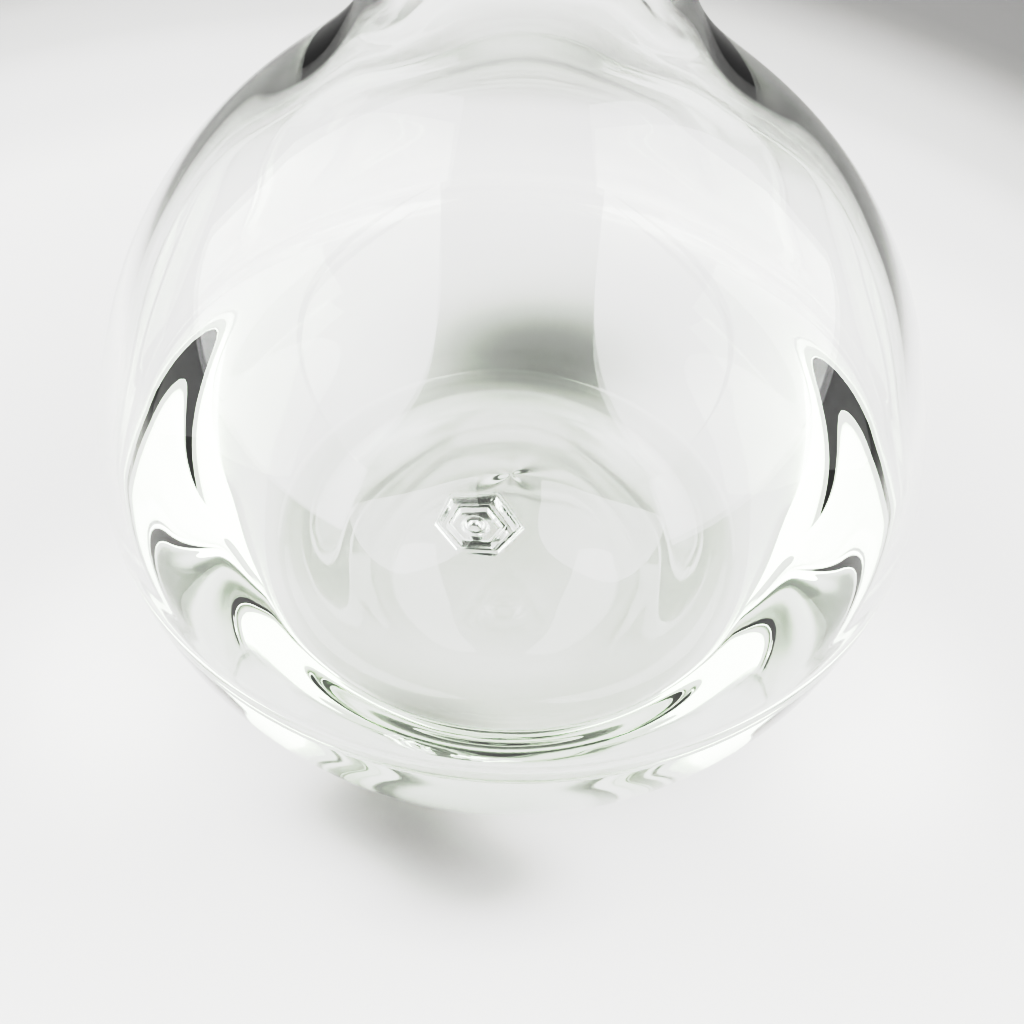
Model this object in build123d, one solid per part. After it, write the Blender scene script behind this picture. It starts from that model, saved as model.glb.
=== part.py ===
from build123d import *
import os

# Flat-bottomed flask of clear glass with a ground-glass stopper, in millimetres, +Z up.
# The origin is the centre of the foot ring, on the surface that the flask stands on.
# Both pieces are turned shapes about Z, apart from the stopper's flat grip and the mark.

# Bulb, outside
BODY_R = 52.5        # widest radius, the 105 mm bulb of a 500 ml flask
EQUATOR_Z = 35.0     # height of the widest circle
FOOT_R = 32.5        # middle of the flat ring that it stands on
FOOT_FLAT = 1.0      # width of that ring
PUSH_UP = 8.9        # height of the underside's centre above the foot

# Bulb, inside: a thin wall down to a thick solid base
WALL = 2.2           # wall at the equator
VALLEY_R = 23.0      # the floor's lowest circle
VALLEY_Z = 19.0
FLOOR_TOP = 25.5     # top of the domed floor

# Neck and ground socket, 29/32 conical joint: 29.2 mm at the mouth, 32 mm long, taper 1 in 10
NECK_R = 17.0
NECK_BORE_R = 14.5
NECK_ROOT_Z = 116.0  # where the neck becomes straight
HEIGHT = 160.0
LIP = 0.8            # radius of the fire-polished lip
SOCKET_R = 14.6
SOCKET_LENGTH = 32.0
TAPER = 0.1          # loss of diameter per length
SOCKET_TO_BORE = 6.0 # height over which the socket opens out to the plain bore

# Stopper
CLEARANCE = 0.03     # radial gap of the ground faces
PLUG_LENGTH = 31.0
TIP_ROUND = 2.0
COLLAR = 1.2         # height of the plug that stands above the lip
GRIP_R = 15.0        # the upright disc that the fingers hold
GRIP_THICKNESS = 8.0
GRIP_EDGE = 2.5
GRIP_BASE = 4.5      # height of the disc's lowest point above the lip
GRIP_DISH_R = 9.0
GRIP_DISH = 1.2
WAIST_R = 3.9        # where the waist runs into the disc

# Mark moulded on the underside, a little off its middle: a raised hexagon outline with a dot
MARK_X, MARK_Y = -3.2, 2.0
MARK_ACROSS = 7.0
MARK_LINE = 0.8
MARK_DOT_R = 0.9
MARK_FACE_Z = 7.9    # its lower face, level, clear of what the flask stands on
MARK_ROOT = 0.5      # how far it is set into the glass above the underside


def taper_radius(depth):
    """Radius of the ground socket at a depth below the mouth."""
    return SOCKET_R - depth * TAPER / 2


def outside_curves():
    """Underside, bulb and neck, from the axis outwards and up to the lip."""
    foot_in, foot_out = FOOT_R - FOOT_FLAT / 2, FOOT_R + FOOT_FLAT / 2
    level, upright = (1, 0), (0, 1)
    underside = Spline((0, PUSH_UP), (7, 8.3), (14, 6.2), (21, 3.4), (27, 1.0), (foot_in, 0),
                       tangents=[level, level])
    foot = Line((foot_in, 0), (foot_out, 0))
    bowl = Spline((foot_out, 0), (37, 2.3), (41.8, 8), (46.9, 16.2), (50.7, 25.5),
                  (BODY_R, EQUATOR_Z), tangents=[level, upright])
    shoulder = Spline((BODY_R, EQUATOR_Z), (51.2, 46.5), (48, 58.5), (41.6, 70.5), (32.2, 82),
                      (24.2, 92), (19.2, 101), (17.2, 109), (NECK_R, NECK_ROOT_Z),
                      tangents=[upright, upright])
    neck = Line((NECK_R, NECK_ROOT_Z), (NECK_R, HEIGHT - LIP))
    lip = JernArc((NECK_R, HEIGHT - LIP), upright, LIP, 90)
    return [underside, foot, bowl, shoulder, neck, lip]


def inside_curves():
    """Ground socket, bore and cavity, from the lip down to the middle of the floor."""
    socket_end = (taper_radius(SOCKET_LENGTH), HEIGHT - SOCKET_LENGTH)
    bore_top = (NECK_BORE_R, HEIGHT - SOCKET_LENGTH - SOCKET_TO_BORE)
    cavity_r = BODY_R - WALL
    down, inwards = (0, -1), (-1, 0)
    rim = Line((NECK_R - LIP, HEIGHT), (SOCKET_R, HEIGHT))
    socket = Line((SOCKET_R, HEIGHT), socket_end)
    relief = Spline(socket_end, bore_top, tangents=[down, down])
    bore = Line(bore_top, (NECK_BORE_R, NECK_ROOT_Z))
    shoulder = Spline((NECK_BORE_R, NECK_ROOT_Z), (14.8, 108), (17, 100.5), (22.2, 91),
                      (30.4, 80.5), (39.6, 69.4), (45.8, 58), (49, 46.3), (cavity_r, EQUATOR_Z),
                      tangents=[down, down])
    base = Spline((cavity_r, EQUATOR_Z), (50.2, 31.8), (49.5, 29.6), (45.2, 26.3), (38.8, 23.8),
                  (VALLEY_R, VALLEY_Z), tangents=[down, inwards])
    floor = Spline((VALLEY_R, VALLEY_Z), (18.4, 19.8), (11.5, 22.2), (5.8, 24.6), (0, FLOOR_TOP),
                   tangents=[inwards, inwards])
    return [rim, socket, relief, bore, shoulder, base, floor]


def mark():
    """Raised hexagon outline with a dot, on the underside."""
    outline = RegularPolygon(MARK_ACROSS / 2, 6, major_radius=False)
    inner = RegularPolygon(MARK_ACROSS / 2 - MARK_LINE, 6, major_radius=False)
    shape = outline - inner + Circle(MARK_DOT_R)
    return Pos(MARK_X, MARK_Y, MARK_FACE_Z) * extrude(shape, amount=PUSH_UP + MARK_ROOT - MARK_FACE_Z)


def flask():
    axis_line = Line((0, FLOOR_TOP), (0, PUSH_UP))
    section = make_face(outside_curves() + inside_curves() + [axis_line])
    return revolve(Plane.XZ * section, Axis.Z) + mark()


def plug():
    """Tapered ground plug with a rounded tip, and a waist that swoops up into the grip."""
    top_r = SOCKET_R - CLEARANCE
    tip_r = taper_radius(PLUG_LENGTH) - CLEARANCE
    tip_z = HEIGHT - PLUG_LENGTH
    end_r, end_z = tip_r - TIP_ROUND, tip_z - TIP_ROUND
    collar_z = HEIGHT + COLLAR
    waist_z = HEIGHT + GRIP_BASE + GRIP_R - GRIP_DISH_R
    outline = [
        Line((top_r, HEIGHT), (tip_r, tip_z)),
        Spline((tip_r, tip_z), (end_r, end_z), tangents=[(0, -1), (-1, 0)]),
        Line((end_r, end_z), (0, end_z)),
        Line((0, end_z), (0, waist_z)),
        Line((0, waist_z), (WAIST_R, waist_z)),
        Spline((WAIST_R, waist_z), (top_r - COLLAR, collar_z + COLLAR), tangents=[(0, -1), (1, 0)]),
        Spline((top_r - COLLAR, collar_z + COLLAR), (top_r, collar_z), tangents=[(1, 0), (0, -1)]),
        Line((top_r, collar_z), (top_r, HEIGHT)),
    ]
    return revolve(Plane.XZ * make_face(outline), Axis.Z)


def grip():
    """Upright disc with rounded edges and a shallow dish in each face."""
    disc = extrude(Plane.XZ * Circle(GRIP_R), amount=GRIP_THICKNESS / 2, both=True)
    disc = fillet(disc.edges().filter_by(GeomType.CIRCLE), GRIP_EDGE)
    dish_ball_r = (GRIP_DISH_R**2 + GRIP_DISH**2) / (2 * GRIP_DISH)
    for side in (-1, 1):
        centre_y = side * (GRIP_THICKNESS / 2 - GRIP_DISH + dish_ball_r)
        disc -= Pos(0, centre_y, 0) * Sphere(dish_ball_r)
    return disc


def stopper():
    return plug() + Pos(0, 0, HEIGHT + GRIP_BASE + GRIP_R) * grip()


os.makedirs("parts", exist_ok=True)
for name, shape in {"flask": flask(), "stopper": stopper()}.items():
    export_step(shape, f"parts/{name}.step")
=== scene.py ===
import math
import bpy
import numpy as np
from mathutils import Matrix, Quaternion, Vector

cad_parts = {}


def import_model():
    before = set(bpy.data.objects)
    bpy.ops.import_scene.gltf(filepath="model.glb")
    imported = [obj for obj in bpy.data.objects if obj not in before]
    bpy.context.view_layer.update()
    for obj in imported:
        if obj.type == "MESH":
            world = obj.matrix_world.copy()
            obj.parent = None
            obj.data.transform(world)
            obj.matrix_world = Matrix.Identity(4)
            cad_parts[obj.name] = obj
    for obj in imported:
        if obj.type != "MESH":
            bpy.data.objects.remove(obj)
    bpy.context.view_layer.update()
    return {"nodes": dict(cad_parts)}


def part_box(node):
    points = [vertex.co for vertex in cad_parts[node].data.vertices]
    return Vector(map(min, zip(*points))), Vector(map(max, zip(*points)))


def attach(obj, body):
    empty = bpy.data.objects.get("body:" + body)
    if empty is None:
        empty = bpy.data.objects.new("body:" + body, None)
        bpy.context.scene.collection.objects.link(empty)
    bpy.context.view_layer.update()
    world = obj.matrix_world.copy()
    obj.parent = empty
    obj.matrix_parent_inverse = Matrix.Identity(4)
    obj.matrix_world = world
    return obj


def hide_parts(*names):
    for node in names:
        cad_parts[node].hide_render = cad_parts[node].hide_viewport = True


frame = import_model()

FLASK_LOW, FLASK_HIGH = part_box("flask")
STOPPER_LOW, STOPPER_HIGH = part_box("stopper")
MM = 0.001

# Sizes of the CAD flask and stopper, in millimetres, from their boxes
BODY_R = (FLASK_HIGH.x - FLASK_LOW.x) / 2 / MM
HEIGHT = FLASK_HIGH.z / MM
PLUG_TIP_Z = STOPPER_LOW.z / MM

# The glass body's outline, the same as the CAD part's, in millimetres
EQUATOR_Z = 35.0
FOOT_R = 32.5
FOOT_FLAT = 1.0
PUSH_UP = 8.9
WALL = 2.2
VALLEY_R = 23.0
VALLEY_Z = 19.0
FLOOR_TOP = 25.5
NECK_R = 17.0
NECK_BORE_R = 14.5
NECK_ROOT_Z = 116.0
LIP = 0.8
SOCKET_R = 14.6
SOCKET_LENGTH = 32.0
TAPER = 0.1
SOCKET_TO_BORE = 6.0
MARK_X, MARK_Y = -3.2, 2.0
MARK_ACROSS = 7.0
MARK_LINE = 0.8
MARK_DOT_R = 0.9
MARK_FACE_Z = 7.9
MARK_MOAT = 0.45     # width and depth of the groove that its lines stand in
MARK_MOAT_DEPTH = 0.6
MARK_ZONE = 9.0      # radius inside which the underside is meshed finely

TIP_ROUND = 2.0      # the stopper's rounded tip, below its ground cone

TURNS = 256          # facets round a lathe shape
WAVE = 0.03          # hand-blown unevenness of the inner surface
IOR = 1.51
GREEN = (0.2, 0.5, 0.05, 1)   # what the glass lets through over a long way
FLASK_TINT = 3.2     # absorption per metre
STOPPER_TINT = 0.4
POLISH_MARKS = 0.012 # most roughness of the clear faces
FLOOR_GAP = 0.00005  # keeps the foot and the table from sharing one plane


# ---------------------------------------------------------------- curves and lathe shapes

def spline(points, start, end, step=0.6):
    """Smooth curve through points with the given end directions, as points about step apart."""
    p = np.array(points, float)
    gap = np.hypot(*np.diff(p, axis=0).T)
    n = len(p)
    a, b = np.zeros((n, n)), np.zeros((n, 2))
    a[0, 0] = a[-1, -1] = 1.0
    b[0] = np.array(start) / np.hypot(*start)
    b[-1] = np.array(end) / np.hypot(*end)
    for i in range(1, n - 1):
        before, after = gap[i - 1], gap[i]
        a[i, i - 1:i + 2] = after, 2 * (before + after), before
        b[i] = 3 * (after * (p[i] - p[i - 1]) / before + before * (p[i + 1] - p[i]) / after)
    slope = np.linalg.solve(a, b)
    out = [p[0]]
    for i in range(n - 1):
        h = gap[i]
        count = max(2, int(h / step))
        for k in range(1, count + 1):
            t = k / count
            out.append((1 + 2 * t) * (1 - t)**2 * p[i] + t * (1 - t)**2 * h * slope[i]
                       + t * t * (3 - 2 * t) * p[i + 1] + t * t * (t - 1) * h * slope[i + 1])
    return [tuple(q) for q in out]


def line(start, end, step=1.5):
    count = max(1, int(math.dist(start, end) / step))
    return [(start[0] + (end[0] - start[0]) * k / count, start[1] + (end[1] - start[1]) * k / count)
            for k in range(count + 1)]


def quarter(centre, radius, start_deg, count=6):
    angles = [math.radians(start_deg + 90 * k / count) for k in range(count + 1)]
    return [(centre[0] + radius * math.cos(a), centre[1] + radius * math.sin(a)) for a in angles]


def chain(*parts):
    out = []
    for part in parts:
        out += part if not out else part[1:]
    return out


def normals(outline):
    """Unit normals of an outline, to the right of its direction."""
    p = np.array(outline)
    along = np.gradient(p, axis=0)
    length = np.hypot(along[:, 0], along[:, 1])
    return np.stack([along[:, 1] / length, -along[:, 0] / length], axis=1)


def lathe(name, outline, swell=None):
    """Closed mesh turned round Z from an outline that starts and ends on the axis.

    swell(x, y, z, i) moves a point of the outline's i-th ring along its normal, in millimetres."""
    verts, faces, rings = [], [], []
    for i, ((r, z), (out_r, out_z)) in enumerate(zip(outline, normals(outline))):
        if r < 1e-6:
            rings.append([len(verts)])
            verts.append((0.0, 0.0, z + (swell(0.0, 0.0, z, i) * out_z if swell else 0.0)))
            continue
        ring = []
        for k in range(TURNS):
            a = 2 * math.pi * k / TURNS
            push = swell(r * math.cos(a), r * math.sin(a), z, i) if swell else 0.0
            ring.append(len(verts))
            verts.append(((r + push * out_r) * math.cos(a), (r + push * out_r) * math.sin(a), z + push * out_z))
        rings.append(ring)
    for low, high in zip(rings, rings[1:]):
        for k in range(TURNS):
            m = (k + 1) % TURNS
            if len(low) == 1:
                faces.append((low[0], high[m], high[k]))
            elif len(high) == 1:
                faces.append((low[k], low[m], high[0]))
            else:
                faces.append((low[k], low[m], high[m], high[k]))
    mesh = bpy.data.meshes.new(name)
    mesh.from_pydata([tuple(c * MM for c in v) for v in verts], [], faces)
    mesh.validate()
    for polygon in mesh.polygons:
        polygon.use_smooth = True
    piece = bpy.data.objects.new(name, mesh)
    bpy.context.scene.collection.objects.link(piece)
    return piece


# ---------------------------------------------------------------- glass

def ease(x, low, high):
    """0 below low, 1 above high, smooth between."""
    t = min(1.0, max(0.0, (x - low) / (high - low)))
    return t * t * (3 - 2 * t)


def glass(name, tint):
    """Clear glass, faintly green where it is thick, with soft polishing marks in its roughness."""
    material = bpy.data.materials.new(name)
    material.use_nodes = True
    tree = material.node_tree
    new, link = tree.nodes.new, tree.links.new
    shader = tree.nodes["Principled BSDF"]
    shader.inputs["Base Color"].default_value = (1, 1, 1, 1)
    shader.inputs["Transmission Weight"].default_value = 1.0
    shader.inputs["IOR"].default_value = IOR
    place = new("ShaderNodeTexCoord")
    cloud = new("ShaderNodeTexNoise")
    cloud.inputs["Scale"].default_value = 40
    cloud.inputs["Detail"].default_value = 2
    spread = new("ShaderNodeMapRange")
    spread.inputs["From Min"].default_value = 0.35
    spread.inputs["From Max"].default_value = 0.75
    spread.inputs["To Max"].default_value = POLISH_MARKS
    link(place.outputs["Object"], cloud.inputs["Vector"])
    link(cloud.outputs["Fac"], spread.inputs["Value"])
    link(spread.outputs["Result"], shader.inputs["Roughness"])
    green = new("ShaderNodeVolumeAbsorption")
    green.inputs["Color"].default_value = GREEN
    green.inputs["Density"].default_value = tint
    link(green.outputs["Volume"], tree.nodes["Material Output"].inputs["Volume"])
    return material


def grind(material, low, high, radius):
    """Makes the faces within a radius of Z, between two heights, ground: fine-grained and whitish."""
    tree = material.node_tree
    new, link = tree.nodes.new, tree.links.new
    shader = tree.nodes["Principled BSDF"]
    polish = shader.inputs["Roughness"].links[0].from_socket
    place = new("ShaderNodeTexCoord")
    part = new("ShaderNodeSeparateXYZ")
    flat = new("ShaderNodeVectorMath")
    flat.operation = "MULTIPLY"
    flat.inputs[1].default_value = (1, 1, 0)
    out = new("ShaderNodeVectorMath")
    out.operation = "LENGTH"
    above, below, near = new("ShaderNodeMath"), new("ShaderNodeMath"), new("ShaderNodeMath")
    above.operation, below.operation, near.operation = "GREATER_THAN", "LESS_THAN", "LESS_THAN"
    above.inputs[1].default_value = low * MM
    below.inputs[1].default_value = high * MM
    near.inputs[1].default_value = radius * MM
    height, band = new("ShaderNodeMath"), new("ShaderNodeMath")
    height.operation = band.operation = "MULTIPLY"
    grain = new("ShaderNodeTexNoise")
    grain.inputs["Scale"].default_value = 3500
    frost = new("ShaderNodeMapRange")
    frost.inputs["To Min"].default_value = 0.22
    frost.inputs["To Max"].default_value = 0.42
    choose = new("ShaderNodeMix")
    bump = new("ShaderNodeBump")
    bump.inputs["Distance"].default_value = 0.0001
    link(place.outputs["Object"], part.inputs[0])
    link(part.outputs["Z"], above.inputs[0])
    link(part.outputs["Z"], below.inputs[0])
    link(place.outputs["Object"], flat.inputs[0])
    link(flat.outputs[0], out.inputs[0])
    link(out.outputs["Value"], near.inputs[0])
    link(above.outputs[0], height.inputs[0])
    link(below.outputs[0], height.inputs[1])
    link(height.outputs[0], band.inputs[0])
    link(near.outputs[0], band.inputs[1])
    link(place.outputs["Object"], grain.inputs["Vector"])
    link(grain.outputs["Fac"], frost.inputs["Value"])
    link(band.outputs[0], choose.inputs["Factor"])
    link(polish, choose.inputs["A"])
    link(frost.outputs["Result"], choose.inputs["B"])
    link(choose.outputs["Result"], shader.inputs["Roughness"])
    link(band.outputs[0], bump.inputs["Strength"])
    link(grain.outputs["Fac"], bump.inputs["Height"])
    link(bump.outputs["Normal"], shader.inputs["Normal"])


def flask_glass():
    material = glass("flask_glass", FLASK_TINT)
    tree = material.node_tree
    # The mark's outlines get painted shade: the base colour goes near black along the edges of the hexagon's
    # line and its dot, standing in for the dark edges that light bent by the raised mark gives.
    edge = tree.nodes.new("ShaderNodeAttribute")
    edge.attribute_name = "mark_edge_painted_shade"
    painted_shade_mix = tree.nodes.new("ShaderNodeMix")
    painted_shade_mix.data_type = "RGBA"
    painted_shade_mix.inputs["A"].default_value = (1, 1, 1, 1)
    painted_shade_mix.inputs["B"].default_value = (0.08, 0.085, 0.08, 1)
    tree.links.new(edge.outputs["Fac"], painted_shade_mix.inputs["Factor"])
    tree.links.new(painted_shade_mix.outputs["Result"], tree.nodes["Principled BSDF"].inputs["Base Color"])
    grind(material, HEIGHT - SOCKET_LENGTH, HEIGHT - LIP / 2, (SOCKET_R + NECK_R) / 2)
    return material


def stopper_glass():
    material = glass("stopper_glass", STOPPER_TINT)
    grind(material, PLUG_TIP_Z + TIP_ROUND, HEIGHT, NECK_R)
    return material


# ---------------------------------------------------------------- the flask

def underside():
    rise = [(0, PUSH_UP), (7, 8.3), (14, 6.2), (21, 3.4), (27, 1.0), (FOOT_R - FOOT_FLAT / 2, 0)]
    fine = spline(rise, (1, 0), (1, 0), 0.1)
    return [p for k, p in enumerate(fine) if p[0] < MARK_ZONE or k % 4 == 0 or p is fine[-1]]


def outside():
    level, upright = (1, 0), (0, 1)
    foot_in, foot_out = FOOT_R - FOOT_FLAT / 2, FOOT_R + FOOT_FLAT / 2
    bowl = spline([(foot_out, 0), (37, 2.3), (41.8, 8), (46.9, 16.2), (50.7, 25.5),
                   (BODY_R, EQUATOR_Z)], level, upright)
    shoulder = spline([(BODY_R, EQUATOR_Z), (51.2, 46.5), (48, 58.5), (41.6, 70.5), (32.2, 82),
                       (24.2, 92), (19.2, 101), (17.2, 109), (NECK_R, NECK_ROOT_Z)], upright, upright)
    neck = line((NECK_R, NECK_ROOT_Z), (NECK_R, HEIGHT - LIP))
    lip = quarter((NECK_R - LIP, HEIGHT - LIP), LIP, 0)
    return chain(underside(), line((foot_in, 0), (foot_out, 0)), bowl, shoulder, neck, lip)


def inside():
    socket_end = (SOCKET_R - SOCKET_LENGTH * TAPER / 2, HEIGHT - SOCKET_LENGTH)
    bore_top = (NECK_BORE_R, HEIGHT - SOCKET_LENGTH - SOCKET_TO_BORE)
    down, inwards = (0, -1), (-1, 0)
    relief = spline([socket_end, bore_top], down, down)
    shoulder = spline([(NECK_BORE_R, NECK_ROOT_Z), (14.8, 108), (17, 100.5), (22.2, 91), (30.4, 80.5),
                       (39.6, 69.4), (45.8, 58), (49, 46.3), (BODY_R - WALL, EQUATOR_Z)], down, down)
    base = spline([(BODY_R - WALL, EQUATOR_Z), (50.2, 31.8), (49.5, 29.6), (45.2, 26.3), (38.8, 23.8),
                   (VALLEY_R, VALLEY_Z)], down, inwards)
    floor = spline([(VALLEY_R, VALLEY_Z), (18.4, 19.8), (11.5, 22.2), (5.8, 24.6), (0, FLOOR_TOP)],
                   inwards, inwards)
    return chain(line((NECK_R - LIP, HEIGHT), (SOCKET_R, HEIGHT)), line((SOCKET_R, HEIGHT), socket_end),
                 relief, line(bore_top, (NECK_BORE_R, NECK_ROOT_Z)), shoulder, base, floor)


def mark_distances(x, y):
    """How far a point is from the middle of the hexagon's line, and from the dot's edge."""
    dx, dy = x - MARK_X, y - MARK_Y
    flats = [dx * math.cos(math.radians(a)) + dy * math.sin(math.radians(a)) for a in range(30, 390, 60)]
    return abs(max(flats) - (MARK_ACROSS - MARK_LINE) / 2), math.hypot(dx, dy) - MARK_DOT_R


def mark(x, y, z):
    """How far the hexagon outline and its dot stand out below the underside, with a fine groove round them."""
    to_line, to_dot = mark_distances(x, y)
    edge = 0.09
    ridge = 1 - ease(to_line, MARK_LINE / 2 - edge, MARK_LINE / 2 + edge)
    dot = 1 - ease(to_dot, -edge, edge)
    moat = 1 - ease(min(to_line - MARK_LINE / 2, to_dot), MARK_MOAT - edge, MARK_MOAT + edge)
    raised = max(ridge, dot)
    return max(0.0, z - MARK_FACE_Z) * raised - MARK_MOAT_DEPTH * moat * (1 - raised)


def unevenness(x, y, z):
    """Long, shallow waves of blown glass, none at the mouth."""
    turn = math.atan2(y, x)
    wave = (math.sin(2 * turn + z / 17) + 0.7 * math.sin(3 * turn - z / 11 + 1.3)
            + 0.5 * math.sin(5 * turn + z / 7 + 0.4) + 0.6 * math.sin(x / 6 + 0.8) * math.sin(y / 5))
    return WAVE * wave * (1 - ease(z, NECK_ROOT_Z - 20, NECK_ROOT_Z))


def make_flask():
    skin, cavity = outside(), inside()

    def swell(x, y, z, i):
        if i >= len(skin):
            return unevenness(x, y, z)
        return mark(x, y, z) if math.hypot(x, y) < MARK_ZONE and z < PUSH_UP + 1 else 0.0

    piece = lathe("flask_glass", chain(skin, cavity), swell)
    # Painted shade for the mark's outlines: near 1 on the edges of the hexagon's line and of its dot, 0
    # elsewhere.
    painted_edge_shade = piece.data.attributes.new("mark_edge_painted_shade", "FLOAT", "POINT")
    for vertex, value in zip(piece.data.vertices, painted_edge_shade.data):
        x, y, z = (c / MM for c in vertex.co)
        if z < PUSH_UP + 1.5 and math.hypot(x, y) < MARK_ZONE:
            to_line, to_dot = mark_distances(x, y)
            value.value = 1 - ease(min(abs(to_line - MARK_LINE / 2), abs(to_dot)), 0.1, 0.28)
    piece.data.materials.append(flask_glass())
    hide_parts("flask")
    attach(piece, "flask")


make_flask()
frame["nodes"]["stopper"].material_slots[0].material = stopper_glass()


# ---------------------------------------------------------------- stage, light and camera

def painted_light_oval(tree, place, colour, centre, size, left):
    """Paints shade (left below 1) and light (left above 1) on the table: multiplies a colour by left in the
    middle of a soft oval on the table.
    """
    new, link = tree.nodes.new, tree.links.new
    shift, scale, away = new("ShaderNodeVectorMath"), new("ShaderNodeVectorMath"), new("ShaderNodeVectorMath")
    shift.operation, scale.operation, away.operation = "SUBTRACT", "MULTIPLY", "LENGTH"
    shift.inputs[1].default_value = (*centre, 0)
    scale.inputs[1].default_value = (1 / size[0], 1 / size[1], 0)
    fade = new("ShaderNodeMapRange")
    fade.interpolation_type = "SMOOTHERSTEP"
    fade.inputs["From Max"].default_value = 2.0
    fade.inputs["To Min"].default_value = left
    fade.inputs["To Max"].default_value = 1.0
    product = new("ShaderNodeVectorMath")
    product.operation = "SCALE"
    link(place, shift.inputs[0])
    link(shift.outputs[0], scale.inputs[0])
    link(scale.outputs[0], away.inputs[0])
    link(away.outputs["Value"], fade.inputs["Value"])
    link(colour, product.inputs[0])
    link(fade.outputs["Result"], product.inputs["Scale"])
    return product.outputs["Vector"]


def floor():
    """White table, a little mottled, with a painted pool of light that fades with distance, soonest at the far
    right, and painted shadows and glows; it also glows with its own colour, which is painted light and no lamp.
    """
    bpy.ops.mesh.primitive_plane_add(size=30, location=(0, 0, -FLOOR_GAP))
    plane = bpy.context.object
    plane.name = "table"
    material = bpy.data.materials.new("table_with_painted_light")
    material.use_nodes = True
    tree = material.node_tree
    new, link = tree.nodes.new, tree.links.new
    shader = tree.nodes["Principled BSDF"]
    shader.inputs["Roughness"].default_value = 0.7
    place = new("ShaderNodeTexCoord")
    away = new("ShaderNodeVectorMath")
    away.operation = "DISTANCE"
    away.inputs[1].default_value = PAINTED_POOL_CENTRE
    # Painted pool of light: the table's grey falls off with distance from the pool's centre, as light would.
    painted_falloff = new("ShaderNodeValToRGB")
    painted_falloff.color_ramp.interpolation = "EASE"
    stops = painted_falloff.color_ramp.elements
    while len(stops) < len(PAINTED_POOL_FALLOFF):
        stops.new(1.0)
    for stop, (distance, grey) in zip(stops, PAINTED_POOL_FALLOFF):
        stop.position = distance
        stop.color = (grey, grey * 0.996, grey * 0.985, 1)
    mottle = new("ShaderNodeTexNoise")
    mottle.inputs["Scale"].default_value = 6
    vary = new("ShaderNodeMapRange")
    vary.inputs["To Min"].default_value = 0.97
    vary.inputs["To Max"].default_value = 1.02
    mix = new("ShaderNodeVectorMath")
    mix.operation = "SCALE"
    link(place.outputs["Object"], away.inputs[0])
    link(away.outputs["Value"], painted_falloff.inputs["Fac"])
    link(place.outputs["Object"], mottle.inputs["Vector"])
    link(mottle.outputs["Fac"], vary.inputs["Value"])
    link(painted_falloff.outputs["Color"], mix.inputs[0])
    link(vary.outputs["Result"], mix.inputs["Scale"])
    colour = mix.outputs["Vector"]
    # Painted shadows behind and in front of the foot, and painted glows to its left and right.
    for x, y, width, depth, left in PAINTED_SHADOWS_AND_GLOWS:
        colour = painted_light_oval(tree, place.outputs["Object"], colour, (x, y), (width, depth), left)
    link(colour, shader.inputs["Base Color"])
    # The table glows with its own painted colour: painted light, not a lamp.
    link(colour, shader.inputs["Emission Color"])
    shader.inputs["Emission Strength"].default_value = TABLE_GLOW
    plane.data.materials.append(material)


def softbox(name, azimuth, elevation, distance, width, height, power, spread=180, aim=(0, 0, 0.05)):
    """Rectangular light aimed at a point; azimuth 0 is behind the flask, 90 to its right."""
    data = bpy.data.lights.new(name, "AREA")
    data.shape = "RECTANGLE"
    data.size, data.size_y, data.energy = width, height, power
    data.spread = math.radians(spread)
    lamp = bpy.data.objects.new(name, data)
    a, e = math.radians(azimuth), math.radians(elevation)
    out = Vector((math.sin(a) * math.cos(e), math.cos(a) * math.cos(e), math.sin(e)))
    lamp.location = Vector(aim) + out * distance
    lamp.rotation_euler = (-out).to_track_quat("-Z", "Y").to_euler()
    bpy.context.scene.collection.objects.link(lamp)


def world(horizon, sides, sky):
    """White tent: bright above, grey at the horizon and less so to the left and right."""
    made = bpy.data.worlds.new("studio")
    bpy.context.scene.world = made
    made.use_nodes = True
    tree = made.node_tree
    place = tree.nodes.new("ShaderNodeTexCoord")
    part = tree.nodes.new("ShaderNodeSeparateXYZ")
    rise = tree.nodes.new("ShaderNodeMapRange")
    rise.interpolation_type = "SMOOTHSTEP"
    rise.inputs["From Min"].default_value = math.sin(math.radians(SKY_LOW))
    rise.inputs["From Max"].default_value = math.sin(math.radians(SKY_HIGH))
    rise.inputs["To Max"].default_value = sky
    aside = tree.nodes.new("ShaderNodeMath")
    aside.operation = "ABSOLUTE"
    low = tree.nodes.new("ShaderNodeMapRange")
    low.interpolation_type = "SMOOTHSTEP"
    low.inputs["From Min"].default_value = 0.35
    low.inputs["From Max"].default_value = 0.9
    low.inputs["To Min"].default_value = horizon
    low.inputs["To Max"].default_value = sides
    tree.links.new(place.outputs["Generated"], part.inputs[0])
    tree.links.new(part.outputs["X"], aside.inputs[0])
    tree.links.new(aside.outputs["Value"], low.inputs["Value"])
    tree.links.new(low.outputs["Result"], rise.inputs["To Min"])
    tree.links.new(part.outputs["Z"], rise.inputs["Value"])
    tree.links.new(rise.outputs["Result"], tree.nodes["Background"].inputs["Color"])


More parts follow.
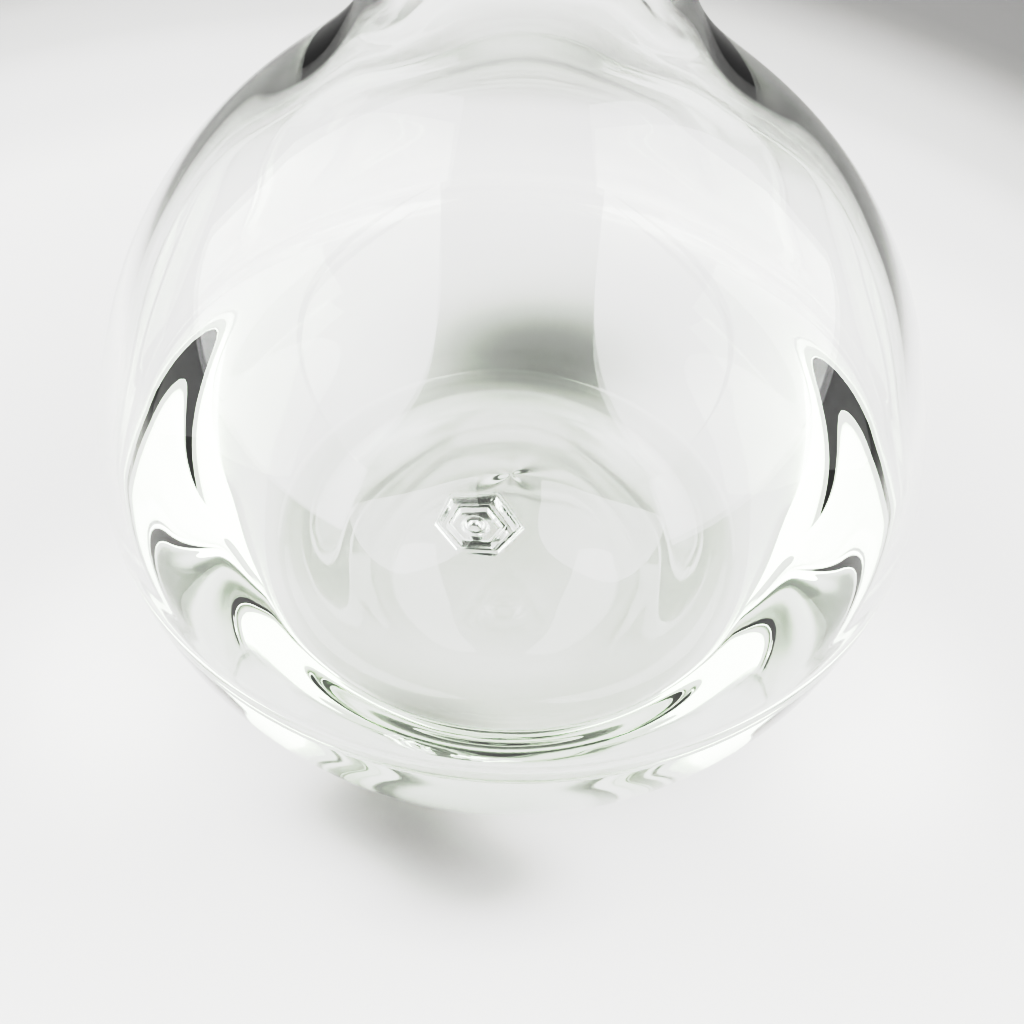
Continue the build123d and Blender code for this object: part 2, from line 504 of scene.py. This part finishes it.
def camera():
    data = bpy.data.cameras.new("camera")
    data.sensor_width = 36
    data.angle = math.radians(21.2)
    seat = bpy.data.objects.new("camera", data)
    bpy.context.scene.collection.objects.link(seat)
    bpy.context.scene.camera = seat
    e = math.radians(48)
    back = Vector((0, -math.cos(e), math.sin(e)))
    seat.location = Vector((0, 0, EQUATOR_Z * MM)) + back * 0.350
    seat.rotation_mode = "QUATERNION"
    seat.rotation_quaternion = ((-back).to_track_quat("-Z", "Y") @ Quaternion((0, 0, 1), math.radians(2.5))
                                @ Quaternion((1, 0, 0), math.radians(-1.85)))
    data.clip_start = 0.01


def tone():
    """A camera's tone curve: steep in the shades, and the whites roll off gently up to WHITE."""
    view = bpy.context.scene.view_settings
    view.view_transform = "Standard"
    view.use_curve_mapping = True
    mapping = view.curve_mapping
    mapping.white_level = (WHITE, WHITE, WHITE)
    for light, shown in TONES:
        mapping.curves[3].points.new(light / WHITE, shown)
    mapping.update()


#LIGHTS
# Painted pool of light on the table: its centre, then the table's grey at each distance from it in metres.
PAINTED_POOL_CENTRE = (-0.02, -0.03, 0)
PAINTED_POOL_FALLOFF = ((0.12, 0.44), (0.14, 0.34), (0.155, 0.22), (0.18, 0.12), (0.25, 0.075), (1.0, 0.09))
SKY_LOW, SKY_HIGH = 14, 28
WHITE = 2.4
TONES = ((0.08, 0.025), (0.2, 0.11), (0.35, 0.36), (0.5, 0.65), (0.65, 0.77), (1.05, 0.845), (1.6, 0.95))
# How strongly the table glows with its own painted colour: painted light.
TABLE_GLOW = 0.6
# Painted shadows and painted caustic glows on the table: x, y, half width, half depth, how much is left in the
# middle
PAINTED_SHADOWS_AND_GLOWS = ((0.006, 0.040, 0.019, 0.010, 0.3),
         (-0.015, -0.037, 0.011, 0.007, 0.5), (-0.003, -0.046, 0.012, 0.007, 0.5),
         (-0.050, -0.014, 0.016, 0.02, 1.3), (0.047, -0.016, 0.016, 0.02, 1.3))
floor()
softbox("left_softbox", -100, 10, 1.2, 2.0, 0.46, 6.6)
softbox("right_softbox", 100, 10, 1.2, 2.0, 0.46, 6.6)
softbox("left_panel", -95, 45, 1.4, 2.6, 1.2, 27)
softbox("right_panel", 95, 45, 1.4, 2.6, 1.2, 27)
world(0.15, 0.32, 0.9)
#END
camera()
tone()
cycles = bpy.context.scene.cycles
cycles.max_bounces = 24
cycles.transmission_bounces = 24
cycles.glossy_bounces = 12
